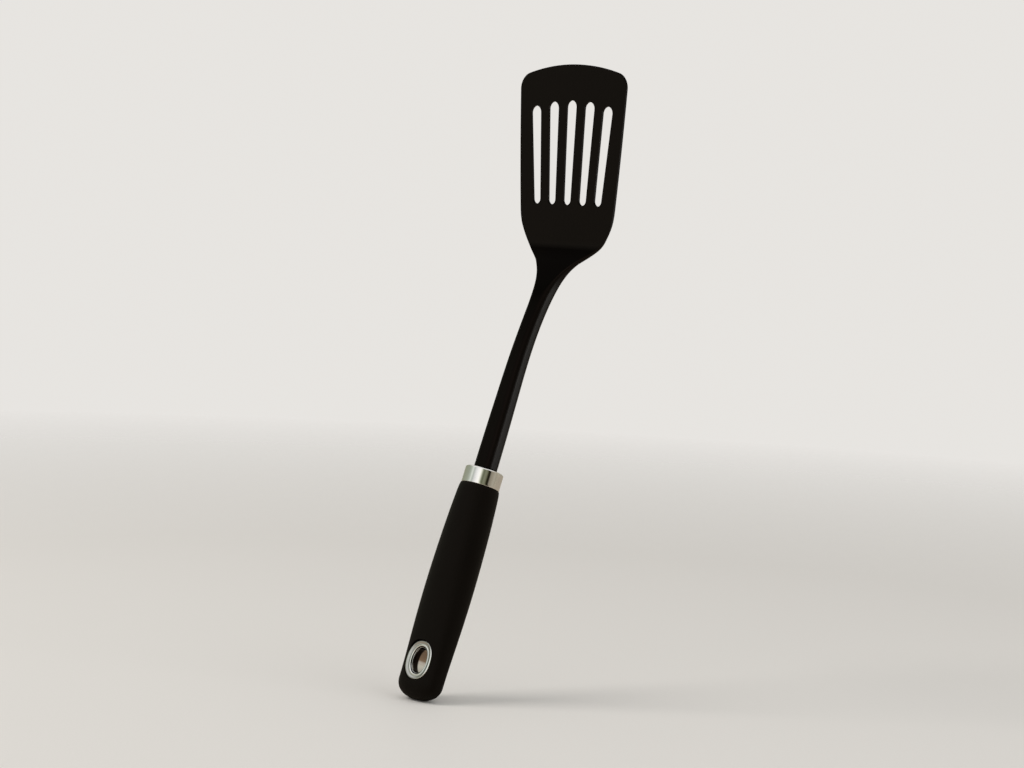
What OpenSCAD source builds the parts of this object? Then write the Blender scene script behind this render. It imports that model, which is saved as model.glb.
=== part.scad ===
// Slotted kitchen turner with a fixed, angled handle.
// Millimetres.  +Z runs up the flat blade towards its front edge, X is the
// width of the blade, and -Y is the face that food lies on.  The origin is on
// the plane that touches the lowest point of the butt, centred in X and Y.

/* [Blade] */
// Greatest width of the blade, near the front edge
blade_width = 75; // [70:0.2:86]
// Width the straight sides would have at the bend
blade_back_width = 64; // [58:0.2:68]
// Length of the flat blade, from the bend to the front edge
blade_len = 90.5; // [86:0.5:105]
// Thickness of the blade
blade_thick = 1.7; // [1.4:0.1:2.6]
// Radius of the bowed front edge
front_radius = 115; // [90:5:250]
// Radius of the two front corners
corner_radius = 8.5; // [5:0.5:10]
// How far each side bows outwards between its ends
side_bow = 0.4; // [0:0.1:1]

/* [Slots] */
// Number of drain slots
slot_count = 5; // [3:2:5]
// Spacing of the slots at their front ends
slot_front_pitch = 12.7; // [12:0.1:13.2]
// Spacing of the slots at their rear ends
slot_back_pitch = 10.9; // [10.2:0.1:11.4]
// Width of a slot at its front end
slot_front_width = 7.2; // [5:0.1:8.5]
// Width of a slot at its rear end
slot_back_width = 5.4; // [4:0.1:7]
// Height of the rear end of every slot above the bend
slot_back_z = 17.2; // [14:0.2:24]
// Height of the front end of the middle slot above the bend
slot_front_z = 71.8; // [60:0.2:76]
// Shortening of the outer slots: the k-th from the middle loses k * k / 2 of this
slot_step = 1.5; // [0:0.1:2.5]

/* [Neck and shaft] */
// Distance from the bend to the ferrule, along the shaft
shaft_len = 131.5; // [115:0.5:150]
// Width of the shaft at its slimmest
shaft_top_width = 9.4; // [8:0.1:11]
// Width of the shaft at the ferrule
shaft_base_width = 11.5; // [10:0.1:12.4]
// Depth of the shaft at its slimmest
shaft_top_depth = 8; // [6.5:0.1:9]
// Depth of the shaft at the ferrule
shaft_base_depth = 8.8; // [7.5:0.1:10]
// Distance below the bend at which half the narrowing to the shaft is done
shoulder_mid = 11; // [8:0.5:14]
// Lean of the handle and the lower shaft from the blade
handle_lean = 19.75; // [12:0.25:28]
// Extra lean of the upper shaft
crank_lean = 7.5; // [0:0.5:10]
// Extra lean of the neck just under the bend
neck_lean = 9; // [0:1:16]

/* [Handle] */
// Length of the soft grip
grip_len = 113; // [100:1:130]
// Diameter of the grip where it meets the ferrule
grip_top_dia = 20.2; // [20:0.1:21]
// Width of the grip at its widest
grip_width = 27.4; // [26:0.2:30]
// Depth of the grip at its fullest
grip_mid_depth = 22.4; // [21:0.2:24]
// Depth of the grip at the hanging hole
grip_end_depth = 14.4; // [14:0.2:17]
// Length of the rounded butt end
butt_len = 9; // [7:0.5:12]
// Squareness of the section near the butt, 2 is a true oval
grip_square = 2.7; // [2.2:0.1:3]

/* [Ferrule] */
// Outer diameter of the ferrule
ferrule_dia = 20; // [19.6:0.1:20.4]
// Length of the ferrule
ferrule_len = 8.9; // [7:0.1:12]
// Wall of the ferrule
ferrule_wall = 0.8; // [0.6:0.1:1]

/* [Hanging eyelet] */
// Distance from the butt end to the middle of the hanging hole
eye_z = 19.3; // [18:0.1:23]
// Width of the hanging hole
eye_hole_width = 10.4; // [8:0.2:10.8]
// Extra length of the hanging hole over its width
eye_slot = 3.6; // [2:0.2:5]
// Width of the eyelet rim
eye_rim_width = 17; // [16:0.2:18]
// Height of the eyelet rim above the middle plane of the handle
eye_rim_height = 6.7; // [6.4:0.1:7.4]
// Wall of the eyelet barrel
eye_wall = 1; // [0.8:0.1:1.2]

/* [Hidden] */

gap = 0.05;              // running gap between pieces that are pressed or moulded together
path_step = 1;           // step of the centreline
bend_run = 7;            // length of the bend itself
crank_from = 32;         // the extra lean of the upper shaft fades out between
crank_to = 88;           // these two distances from the bend
neck_at = 12.5;          // distance from the bend to the peak of the extra neck lean
neck_spread = 4.5;       // spread of that lean along the neck
shoulder_spread = 5.9;   // gentleness of the narrowing
shoulder_tail = 3;       // distance past shoulder_mid at which it becomes gentler
tail_spread = 7.3;       // gentleness from there on
flare_from = 45;         // distance from the bend where the shaft starts to grow
thicken_len = 25;        // length over which the neck thickens
neck_edge = 0.2;         // corner radius of the neck section at the blade
shaft_edge = 2.5;        // corner radius of the shaft section
tang_len = 46;           // length of the tang hidden in the handle
tang_width = 9;
tang_depth = 6.6;
notch_radius = 1;        // retaining notches along both edges of the tang
notch_z = 6;             // height of the lowest notches above the foot of the tang
notch_pitch = 8;
core_width = 21;         // flat end of the core
core_depth = 9.6;
core_end_z = 18;         // middle of its rounded end
core_flat_len = 32;      // length of its straight part
core_neck_dia = 14.6;
core_boss_dia = 15;
cut_reach = 20;          // cutters reach this far from the handle's middle plane

// smooth step from 0 at start to 1 at end
function ramp(start, end, x) =
    let (u = min(1, max(0, (x - start) / (end - start)))) u * u * (3 - 2 * u);
function mix(from, to, share) = from + (to - from) * share;
function polar(radius, angle) = radius * [cos(angle), sin(angle)];

// ---- centreline and frames ---------------------------------------------------
// In this section and the next, dist is the distance below the bend.
function lean(dist) = ramp(0, bend_run, dist)
    * (handle_lean + crank_lean * (1 - ramp(crank_from, crank_to, dist))
        + neck_lean * exp(-pow((dist - neck_at) / neck_spread, 2)));

// centreline of the neck and shaft, [y, z] at every step, starting on the bend
steps = ceil(shaft_len / path_step) + 1;
path = [for (i = 0, y = 0, z = 0; i <= steps;
             y = y - path_step * sin(lean((i + 0.5) * path_step)),
             z = z - path_step * cos(lean((i + 0.5) * path_step)),
             i = i + 1) [y, z]];
function path_point(dist) =
    let (i = floor(dist / path_step), share = dist / path_step - i)
    path[i] * (1 - share) + path[i + 1] * share;

// foot of the handle axis, [y, z] in the blade's frame
handle_len = grip_len + ferrule_len;
foot = path_point(shaft_len) - handle_len * [sin(handle_lean), cos(handle_lean)];

// lowest reach of the oval butt from the foot, along a direction with these
// shares of the handle's axis and depth
function butt_reach(axial, across) =
    butt_len * axial - sqrt(pow(butt_len * axial, 2) + pow(grip_end_depth / 2 * across, 2));
y_low = foot[0] + butt_reach(sin(handle_lean), cos(handle_lean));
z_low = foot[1] + butt_reach(cos(handle_lean), sin(handle_lean));
shift = [0, -(y_low + blade_thick / 2) / 2, -z_low];

// puts a child from the handle's frame (Z up its axis, foot at 0) onto the axis
module in_handle() translate([0, foot[0], foot[1]]) rotate([-handle_lean, 0, 0]) children();

// ---- lofting -------------------------------------------------------------
// skin over a list of closed rings that all have the same number of points
module loft(rings) {
    n = len(rings[0]);
    last = len(rings) - 1;
    polyhedron(
        points = [for (ring = rings) each ring],
        faces = concat(
            [[for (i = [0:n - 1]) i]],
            [for (j = [0:last - 1], i = [0:n - 1])
                let (a = j * n + i, b = j * n + (i + 1) % n) [a, a + n, b]],
            [for (j = [0:last - 1], i = [0:n - 1])
                let (a = j * n + i, b = j * n + (i + 1) % n) [b, a + n, b + n]],
            [[for (i = [n - 1:-1:0]) last * n + i]]),
        convexity = 6);
}

// rounded rectangle with the given number of points at each corner
function rounded(half_width, half_depth, radius, points = 8) =
    [for (q = [0:3], i = [0:points - 1])
        let (side_x = q == 0 || q == 3 ? 1 : -1, side_y = q < 2 ? 1 : -1)
        [side_x * (half_width - radius), side_y * (half_depth - radius)]
            + polar(radius, q * 90 + 90 * i / (points - 1))];

function signed_pow(value, power) = sign(value) * pow(abs(value), power);
function superellipse(half_width, half_depth, power, points = 44) =
    [for (i = [0:points - 1]) let (angle = 360 * i / points)
        [half_width * signed_pow(cos(angle), 2 / power),
         half_depth * signed_pow(sin(angle), 2 / power)]];

// ---- head and shaft --------------------------------------------------------
// share of the narrowing from blade to shaft that is done at a distance below
// the bend; the same curve rounds the rear corners of the blade above the bend
function shoulder(dist) = let (tail_at = shoulder_mid + shoulder_tail)
    ramp(-16, -2, dist) / (1 + exp(-((min(dist, tail_at) - shoulder_mid) / shoulder_spread
                                     + max(0, dist - tail_at) / tail_spread)));

function shaft_size(top, base, dist) = mix(top, base, ramp(flare_from, shaft_len, dist));
function neck_half_width(dist) =
    mix(blade_back_width, shaft_size(shaft_top_width, shaft_base_width, dist), shoulder(dist)) / 2;
function neck_depth(dist) = shaft_size(shaft_top_depth, shaft_base_depth, dist)
    + (blade_thick - shaft_top_depth) * exp(-pow(dist / thicken_len, 3));

// centres of the front edge's arc and of the right front corner
front_centre = [0, blade_len - front_radius];
corner_x = blade_width / 2 - corner_radius;
side_top = front_centre[1] + sqrt(pow(front_radius - corner_radius, 2) - pow(corner_x, 2));
corner_centre = [corner_x, side_top];
corner_angle = atan2(side_top - front_centre[1], corner_x);

// half width of the flat blade at height z above the bend
function blade_half_width(z) = let (share = z / side_top)
    mix(blade_back_width, blade_width, share) / 2 + side_bow * 4 * share * (1 - share)
    - (blade_back_width - shaft_top_width) / 2 * shoulder(-z);

// one side of the blade outline, [x, z] from the bend to the middle of the front edge
half_outline = concat(
    [for (i = [0:40]) let (z = side_top * pow(i / 40, 1.5)) [blade_half_width(z), z]],
    [for (i = [1:10]) corner_centre + polar(corner_radius, corner_angle * i / 10)],
    [for (i = [1:14]) front_centre + polar(front_radius, mix(corner_angle, 90, i / 14))]);

module blade_outline() {
    polygon(concat(half_outline,
        [for (i = [len(half_outline) - 2:-1:0]) [-half_outline[i][0], half_outline[i][1]]]));
}

// one drain slot with round ends; k counts from the middle slot
module slot(k) {
    back_radius = slot_back_width / 2;
    front_radius = slot_front_width / 2;
    back = [k * slot_back_pitch, slot_back_z + back_radius];
    front = [k * slot_front_pitch, slot_front_z - slot_step * k * k / 2 - front_radius];
    axis = front - back;
    // the flanks are tangent to both ends, which they meet at spread either side of heading
    heading = atan2(axis[1], axis[0]);
    spread = acos((back_radius - front_radius) / norm(axis));
    polygon(concat(
        [for (i = [0:16])
            front + polar(front_radius, mix(heading - spread, heading + spread, i / 16))],
        [for (i = [0:16])
            back + polar(back_radius, mix(heading + spread, heading - spread + 360, i / 16))]));
}

// one section of the neck and shaft, square to the centreline
function neck_ring(dist, grow) =
    let (centre = path_point(dist),
         angle = lean(dist),
         half_depth = neck_depth(dist) / 2 + grow,
         edge = min(half_depth * 0.98, mix(neck_edge, shaft_edge, ramp(-4, 40, dist))))
    [for (p = rounded(neck_half_width(dist) + grow, half_depth, edge))
        [p[0], centre[0] + p[1] * cos(angle), centre[1] - p[1] * sin(angle)]];

// the upper end is a little slimmer and roots inside the blade
module neck_skin() {
    root_z = 1.5;
    stations = concat([0.5], [for (dist = [1:1:flare_from]) dist],
        [for (dist = [flare_from + 3:4:floor(shaft_len) - 3]) dist], [shaft_len - 0.02]);
    loft(concat(
        [for (i = [len(stations) - 1:-1:0])
            neck_ring(stations[i], -0.08 * max(0, 1 - stations[i] / 3))],
        [[for (p = rounded(neck_half_width(0) - 0.12, blade_thick / 2 - 0.1, neck_edge))
            [p[0], p[1], root_z]]]));
}

// straight tang with retaining notches, in the handle's own frame
tang_foot = handle_len - tang_len;
module tang() {
    translate([-tang_width / 2, -tang_depth / 2, tang_foot])
        difference() {
            cube([tang_width, tang_depth, tang_len + 2]);
            for (i = [0:2], side = [0, 1])
                translate([side * tang_width, -1, notch_z + notch_pitch * i])
                    rotate([-90, 0, 0])
                        cylinder(r = notch_radius, h = tang_depth + 2, $fn = 32);
        }
}

module head_and_shaft() color("#17130f") translate(shift) {
    rotate([90, 0, 0]) translate([0, 0, -blade_thick / 2]) linear_extrude(blade_thick)
        difference() {
            blade_outline();
            for (k = [-(slot_count - 1) / 2:(slot_count - 1) / 2]) slot(k);
        }
    neck_skin();
    in_handle() tang();
}

// ---- handle, in its own frame, z above the foot ------------------------------
// what the grip's half size loses towards the ferrule: a taper over taper_len,
// and a rounding of the top edge over the last millimetre or two
function top_loss(z, half_size, taper_len, edge) =
    (half_size - grip_top_dia / 2 - edge) * pow(max(0, z - grip_len + taper_len) / taper_len, 2)
    + edge * exp(-(grip_len - z) / 1.2);
function grip_half_width(z) = grip_width / 2 - 0.5 * (1 - ramp(8, 45, z))
    - top_loss(z, grip_width / 2, taper_len = 61, edge = 0.34);
function grip_half_depth(z) = mix(grip_end_depth, grip_mid_depth, ramp(12, 72, z)) / 2
    - top_loss(z, grip_mid_depth / 2, taper_len = 28, edge = 0.53);

// rounding of the butt end: 0 at the foot, 1 where the butt ends
function butt(z, power) =
    z >= butt_len ? 1 : pow(1 - pow((butt_len - z) / butt_len, power), 1 / power);

function grip_ring(z) =
    let (body_z = max(z, butt_len),
         section = superellipse(grip_half_width(body_z) * butt(z, 2.3),
                                grip_half_depth(body_z) * butt(z, 2),
                                mix(grip_square, 2, ramp(16, 72, z))))
    [for (p = section) [p[0], p[1], z]];

module grip_skin() loft(concat(
    [for (angle = [4:6:88]) grip_ring(butt_len * (1 - cos(angle)))],
    [for (i = [0:26]) grip_ring(mix(butt_len, grip_len - 6, i / 26))],
    [for (below_top = [4, 2.8, 1.8, 1.1, 0.5, 0]) grip_ring(grip_len - below_top)]));

// straight-sided oval plate around the hole's axis, from y_from to y_to
module oval(width, y_from, y_to)
    translate([0, y_to, eye_z]) rotate([90, 0, 0]) linear_extrude(y_to - y_from) {
        for (side = [-1, 1]) translate([0, side * eye_slot / 2]) circle(d = width, $fn = 72);
        square([width, eye_slot], center = true);
    }

// seat of the eyelet barrel
module barrel_seat() oval(eye_hole_width + 2 * eye_wall + 2 * gap, -cut_reach, cut_reach);

module core_solid(grow = 0) {
    // boss just below the ferrule, and neck
    translate([0, 0, grip_len - 10]) cylinder(d = core_boss_dia + 2 * grow, h = 10.2, $fn = 64);
    translate([0, 0, 36 - grow])
        cylinder(d = core_neck_dia + 2 * grow, h = grip_len - 40 + grow, $fn = 64);
    // flat end around the hanging hole
    translate([0, core_depth / 2 + grow, 0]) rotate([90, 0, 0])
        linear_extrude(core_depth + 2 * grow) {
            translate([0, core_end_z]) circle(d = core_width + 2 * grow, $fn = 72);
            translate([-core_width / 2 - grow, core_end_z])
                square([core_width + 2 * grow, core_flat_len + grow]);
        }
}

ferrule_bore = ferrule_dia - 2 * ferrule_wall;

module handle_core() color("#2b2724") translate(shift) in_handle() difference() {
    union() {
        core_solid();
        // plug that fills the ferrule
        translate([0, 0, grip_len + 0.06])
            cylinder(d = ferrule_bore - 2 * gap, h = ferrule_len - ferrule_wall - 0.16, $fn = 72);
    }
    // socket for the tang
    translate([-tang_width / 2 - gap, -tang_depth / 2 - gap, tang_foot - 1])
        cube([tang_width + 2 * gap, tang_depth + 2 * gap, tang_len + 10]);
    barrel_seat();
}

module grip_sleeve() color("#15120f") translate(shift) in_handle() difference() {
    grip_skin();
    core_solid(gap);
    // recesses of the two eyelet rims
    for (m = [0, 1]) mirror([0, m, 0])
        oval(eye_rim_width + 2 * gap, -cut_reach, -rim_under + gap);
    barrel_seat();
}

// upright bar with rounded corners, centred in X and Y
module round_bar(width, depth, radius, height) {
    translate([-width / 2 + radius, -depth / 2, 0]) cube([width - 2 * radius, depth, height]);
    translate([-width / 2, -depth / 2 + radius, 0]) cube([width, depth - 2 * radius, height]);
    for (i = [-1, 1], j = [-1, 1])
        translate([i * (width / 2 - radius), j * (depth / 2 - radius), 0])
            cylinder(r = radius, h = height, $fn = 48);
}

module ferrule() color("#c9c8c4") translate(shift) in_handle() translate([0, 0, grip_len]) {
    outer = ferrule_dia / 2;
    base_z = 0.02;
    chamfer = 0.25;
    edge = 0.9;
    difference() {
        rotate_extrude($fn = 96) polygon(concat(
            [[0, base_z], [outer - chamfer, base_z], [outer, base_z + chamfer]],
            [for (i = [0:6]) [outer - edge, ferrule_len - edge] + polar(edge, 15 * i)],
            [[0, ferrule_len]]));
        translate([0, 0, -1])
            cylinder(d = ferrule_bore, h = ferrule_len - ferrule_wall + 1, $fn = 96);
        // opening for the shaft
        translate([0, 0, 1])
            round_bar(shaft_base_width + 2 * gap, shaft_base_depth + 2 * gap,
                      shaft_edge, ferrule_len);
    }
}

// ---- hanging eyelet ----------------------------------------------------------
hole_radius = eye_hole_width / 2;
rim_radius = eye_rim_width / 2;
rim_under = eye_rim_height - 1.9;   // underside of the rim
eye_split = 0.04;                   // each half stops this far from the middle plane

// profile of one eyelet half: [distance from the hole's centreline, height]
eye_profile = [
    [hole_radius, eye_split],
    [hole_radius, eye_rim_height - 1.1],
    [hole_radius + 0.12, eye_rim_height - 0.8],
    [hole_radius + 0.45, eye_rim_height - 0.65],
    [rim_radius - 1.1, eye_rim_height - 0.2],
    [rim_radius - 0.65, eye_rim_height],
    [rim_radius - 0.25, eye_rim_height - 0.08],
    [rim_radius, eye_rim_height - 0.4],
    [rim_radius, rim_under],
    [hole_radius + eye_wall, rim_under],
    [hole_radius + eye_wall, eye_split]];

// half on the -Y side: a round end and a straight side, each made twice
module eyelet_half() translate([0, 0, eye_z]) rotate([90, 0, 0])
    for (turn = [0, 180]) rotate([0, 0, turn]) translate([0, eye_slot / 2, 0]) {
        rotate_extrude(angle = 180, $fn = 96) polygon(eye_profile);
        rotate([90, 0, 0]) linear_extrude(eye_slot) polygon(eye_profile);
    }

module eyelet_front() color("#d6d6d3") translate(shift) in_handle() eyelet_half();
module eyelet_back() color("#d6d6d3") translate(shift) in_handle() mirror([0, 1, 0]) eyelet_half();

head_and_shaft();
ferrule();
handle_core();
grip_sleeve();
eyelet_front();
eyelet_back();
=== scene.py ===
"""Looks of a slotted nylon kitchen turner, built around its CAD pieces.

The turner stands upright: blade at the top (+Z), handle leaning down and forward (-Y), width
along X. Sizes are in millimetres and angles in degrees. Two frames are used:
  blade frame   origin on the blade's mid-plane at the bend line, axes as above;
  handle frame  origin at the handle's foot, Z up the handle's axis, -Y its front.
"""
import math

import bmesh
import bpy
from mathutils import Matrix, Vector
from mathutils.geometry import delaunay_2d_cdt


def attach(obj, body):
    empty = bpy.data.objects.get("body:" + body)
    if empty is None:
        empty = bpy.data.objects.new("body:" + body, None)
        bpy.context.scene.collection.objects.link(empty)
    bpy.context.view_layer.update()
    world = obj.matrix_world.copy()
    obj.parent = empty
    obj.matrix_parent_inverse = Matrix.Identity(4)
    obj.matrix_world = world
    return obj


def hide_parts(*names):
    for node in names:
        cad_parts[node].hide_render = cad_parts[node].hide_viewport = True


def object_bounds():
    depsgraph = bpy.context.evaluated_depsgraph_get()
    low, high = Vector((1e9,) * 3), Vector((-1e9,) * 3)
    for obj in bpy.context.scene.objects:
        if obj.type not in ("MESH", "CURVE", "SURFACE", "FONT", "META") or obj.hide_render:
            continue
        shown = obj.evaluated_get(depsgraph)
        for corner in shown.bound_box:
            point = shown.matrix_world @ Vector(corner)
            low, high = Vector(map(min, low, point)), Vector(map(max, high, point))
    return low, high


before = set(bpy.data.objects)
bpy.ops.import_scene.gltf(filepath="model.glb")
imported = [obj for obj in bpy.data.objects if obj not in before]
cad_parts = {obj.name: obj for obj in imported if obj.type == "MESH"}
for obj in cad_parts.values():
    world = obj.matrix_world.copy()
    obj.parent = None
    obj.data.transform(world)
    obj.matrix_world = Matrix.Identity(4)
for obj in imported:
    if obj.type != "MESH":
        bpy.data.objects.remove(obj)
CAD_LO, CAD_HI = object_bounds()
MM = 0.001

# ---- sizes -----------------------------------------------------------------------------
# blade: "low" is at the bend line, "top" at the free edge
BLADE_TOP_W, BLADE_LOW_W, BLADE_LEN, BLADE_T = 75.0, 64.0, 90.5, 1.7
TOP_EDGE_R, CORNER_R, SIDE_BOW = 115.0, 8.5, 0.4
EDGE_R = 0.3                                    # rounding of the blade's edges

# five tapered slots, fanned out; each step off the middle lowers the top end
SLOT_TOP_PITCH, SLOT_LOW_PITCH, SLOT_TOP_W, SLOT_LOW_W = 12.7, 10.9, 7.2, 5.4
SLOT_LOW_Z, SLOT_TOP_Z, SLOT_DROP = 17.2, 71.8, 1.5

# shaft, measured by the distance down its centreline from the bend line
SHAFT_LEN = 131.5
SHAFT_TOP_W, SHAFT_LOW_W, SHAFT_TOP_D, SHAFT_LOW_D = 9.4, 11.5, 8.0, 8.8
SHAFT_SWELL_START = 45                          # width and depth grow from here down
SHAFT_CORNER_R, SHAFT_ROUNDING = 3.2, (2, 42)   # corner radius and where it grows
SHAFT_GROW, SHAFT_GROW_SPAN = 0.16, (10, 42)    # makes up for the rounder corners
NECK_THICKENING = 25                            # distance over which the blade thickens

# sideways narrowing from blade to shaft: an S-curve, slower past its middle
SHOULDER_MID, SHOULDER_START = 11.0, (-16, -2)
SHOULDER_FAST, SHOULDER_SLOW, SHOULDER_CHANGE = 5.9, 7.3, 3

# lean of the centreline from the blade's plane
HANDLE_LEAN, BEND_LEN = 19.75, 7
CRANK_LEAN, CRANK_FADE = 7.5, (32, 88)          # extra lean of the upper shaft
NECK_LEAN, NECK_LEAN_MID, NECK_LEAN_SPREAD = 9.0, 12.5, 4.5

# grip, measured up the handle's axis from its foot
GRIP_LEN, GRIP_TOP_DIA, GRIP_W, GRIP_MID_D, GRIP_FOOT_D = 113.0, 20.2, 27.4, 22.4, 14.4
GRIP_BUTT_LEN, GRIP_BUTT_POWER = 9.0, 2.3       # rounded foot
GRIP_SWELL, GRIP_BLEND = (12, 72), (16, 72)     # depth and outline change over these
GRIP_FOOT_POWER, GRIP_TOP_POWER = 2.7, 2.0      # squarish outline to ellipse
GRIP_PINCH, GRIP_PINCH_SPAN = 0.5, (8, 45)      # half width taken off near the foot
GRIP_W_TAPER, GRIP_D_TAPER = 61, 28             # tapers to the top, lengths
GRIP_TOP_ROUND_W, GRIP_TOP_ROUND_D, GRIP_TOP_ROUND_LEN = 0.34, 0.53, 1.2

FERRULE_DIA, FERRULE_LEN = 20.0, 8.9
FERRULE_R = FERRULE_DIA / 2

# eyelet: an oval through the grip from front to back
EYE_Z, EYE_W, EYE_STRETCH, EYE_RIM_W, EYE_HALF_D = 19.3, 10.4, 3.6, 17.0, 6.7
EYE_R = EYE_W / 2
OVAL_POWER = 2.25

# ---- mesh steps ------------------------------------------------------------------------
ARC_STEPS = 7                                   # in each quarter round of an edge
BEND_POINTS = 65                                # across the bend line
SIDE_STEPS, CORNER_STEPS, TOP_STEPS = 96, 26, 30
SLOT_END_STEPS, SLOT_SIDE_STEPS = 18, 24
FILL_STEP, FILL_MARGIN, FILL_SLOT_MARGIN = 2.6, 1.6, 0.9
PATH_STEP = 0.25
GRIP_POINTS, BUTT_STEPS, FERRULE_POINTS, EYE_POINTS, CUTTER_POINTS = 144, 23, 192, 160, 96


# ---- small maths -----------------------------------------------------------------------
def sin(degrees):
    return math.sin(math.radians(degrees))


def cos(degrees):
    return math.cos(math.radians(degrees))


def ramp(start, end, x):
    """Smooth step from 0 at start to 1 at end."""
    u = min(1.0, max(0.0, (x - start) / (end - start)))
    return u * u * (3 - 2 * u)


def mix(first, second, share):
    return first + (second - first) * share


def steps(start, end, step):
    values = []
    while start < end:
        values.append(start)
        start += step
    return values


# ---- centreline of the neck and shaft --------------------------------------------------
def lean(s):
    crank = CRANK_LEAN * (1 - ramp(*CRANK_FADE, s))
    neck = NECK_LEAN * math.exp(-((s - NECK_LEAN_MID) / NECK_LEAN_SPREAD) ** 2)
    return ramp(0, BEND_LEN, s) * (HANDLE_LEAN + crank + neck)


def centreline():
    """(y, z) points every PATH_STEP, to a little past the shaft's end."""
    path = [(0.0, 0.0)]
    while (len(path) - 1) * PATH_STEP < SHAFT_LEN + 8:
        angle = lean((len(path) - 0.5) * PATH_STEP)
        y, z = path[-1]
        path.append((y - PATH_STEP * sin(angle), z - PATH_STEP * cos(angle)))
    return path


PATH = centreline()


def path_point(s):
    i = int(s / PATH_STEP)
    u = s / PATH_STEP - i
    return tuple(mix(PATH[i][k], PATH[i + 1][k], u) for k in (0, 1))


FERRULE_TOP = path_point(SHAFT_LEN)
HANDLE_LEN = GRIP_LEN + FERRULE_LEN
FOOT_Y = FERRULE_TOP[0] - HANDLE_LEN * sin(HANDLE_LEAN)
FOOT_Z = FERRULE_TOP[1] - HANDLE_LEN * cos(HANDLE_LEAN)
BLADE_Y = CAD_HI.y / MM - BLADE_T / 2           # the blade frame's origin in the CAD frame
BLADE_Z = CAD_HI.z / MM - BLADE_LEN


def put(point):
    """Blade-frame point to the CAD frame in metres."""
    x, y, z = point
    return Vector((x * MM, (y + BLADE_Y) * MM, (z + BLADE_Z) * MM))


def put_handle(point):
    """Handle-frame point to the CAD frame in metres."""
    x, y, z = point
    c, s = cos(HANDLE_LEAN), sin(HANDLE_LEAN)
    return put((x, y * c + z * s + FOOT_Y, -y * s + z * c + FOOT_Z))


# ---- widths and depths along the parts -------------------------------------------------
def shoulder(s):
    """0 at blade width, 1 at shaft width."""
    change = SHOULDER_MID + SHOULDER_CHANGE
    fast = (min(s, change) - SHOULDER_MID) / SHOULDER_FAST
    slow = max(0.0, s - SHOULDER_MID - SHOULDER_CHANGE) / SHOULDER_SLOW
    return ramp(*SHOULDER_START, s) / (1 + math.exp(-(fast + slow)))


def neck_half_width(s):
    shaft = mix(SHAFT_TOP_W, SHAFT_LOW_W, ramp(SHAFT_SWELL_START, SHAFT_LEN, s)) / 2
    return mix(BLADE_LOW_W / 2, shaft, shoulder(s))


def neck_depth(s):
    shaft = mix(SHAFT_TOP_D, SHAFT_LOW_D, ramp(SHAFT_SWELL_START, SHAFT_LEN, s))
    return shaft + (BLADE_T - SHAFT_TOP_D) * math.exp(-((s / NECK_THICKENING) ** 3))


# centres of the top edge's arc (on the axis) and of the corner arcs (at x = +-CORNER_X)
TOP_ARC_Z = BLADE_LEN - TOP_EDGE_R
CORNER_X = BLADE_TOP_W / 2 - CORNER_R
SIDE_TOP = TOP_ARC_Z + math.sqrt((TOP_EDGE_R - CORNER_R) ** 2 - CORNER_X ** 2)


def blade_half_width(z):
    u = z / SIDE_TOP
    straight = mix(BLADE_LOW_W, BLADE_TOP_W, u) / 2 + SIDE_BOW * 4 * u * (1 - u)
    return straight - (BLADE_LOW_W - SHAFT_TOP_W) / 2 * shoulder(-z)


def top_taper(length, z):
    start = GRIP_LEN - length
    return (max(0.0, z - start) / (GRIP_LEN - start)) ** 2


def grip_section(z):
    """Half width, half depth and outline power of the grip at a height."""
    rounding = math.exp(-(GRIP_LEN - z) / GRIP_TOP_ROUND_LEN)
    half_w = (GRIP_W / 2 - GRIP_PINCH * (1 - ramp(*GRIP_PINCH_SPAN, z))
              - (GRIP_W / 2 - GRIP_TOP_DIA / 2 - GRIP_TOP_ROUND_W) * top_taper(GRIP_W_TAPER, z)
              - GRIP_TOP_ROUND_W * rounding)
    half_d = (mix(GRIP_FOOT_D, GRIP_MID_D, ramp(*GRIP_SWELL, z)) / 2
              - (GRIP_MID_D / 2 - GRIP_TOP_DIA / 2 - GRIP_TOP_ROUND_D) * top_taper(GRIP_D_TAPER, z)
              - GRIP_TOP_ROUND_D * rounding)
    return half_w, half_d, mix(GRIP_FOOT_POWER, GRIP_TOP_POWER, ramp(*GRIP_BLEND, z))


# ---- mesh helpers ----------------------------------------------------------------------
def add_weighted_normals(ob):
    modifier = ob.modifiers.new("normals", "WEIGHTED_NORMAL")
    modifier.mode = "FACE_AREA"
    modifier.weight = 50
    modifier.keep_sharp = True


def make(name, verts, faces):
    """Smooth-shaded object, cleaned of doubles and of slivers along open edges."""
    mesh = bpy.data.meshes.new(name)
    mesh.from_pydata([tuple(v) for v in verts], [], faces)
    mesh.validate(clean_customdata=False)
    bm = bmesh.new()
    bm.from_mesh(mesh)
    bmesh.ops.remove_doubles(bm, verts=bm.verts, dist=1e-7)
    for _ in range(4):      # removing one layer of slivers can bare another
        stray = [f for f in bm.faces
                 if f.calc_area() < 5e-8 and any(len(e.link_faces) == 1 for e in f.edges)]
        if not stray:
            break
        bmesh.ops.delete(bm, geom=stray, context="FACES")
    bmesh.ops.recalc_face_normals(bm, faces=bm.faces)
    bm.to_mesh(mesh)
    bm.free()
    ob = bpy.data.objects.new(name, mesh)
    bpy.context.scene.collection.objects.link(ob)
    mesh.shade_smooth()
    return ob


def bridge(first, second):
    """Quads between two closed rings of vertex numbers."""
    count = len(first)
    faces = []
    for i in range(count):
        j = (i + 1) % count
        faces.append([first[i], first[j], second[j], second[i]])
    return faces


def loft(rings, start=0, closed=False):
    """Faces joining rings of points numbered on from start; closed joins last to first."""
    count = len(rings[0])
    loops = [range(start + k * count, start + (k + 1) * count) for k in range(len(rings))]
    if closed:
        loops.append(loops[0])
    return [face for pair in zip(loops, loops[1:]) for face in bridge(*pair)]


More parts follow.
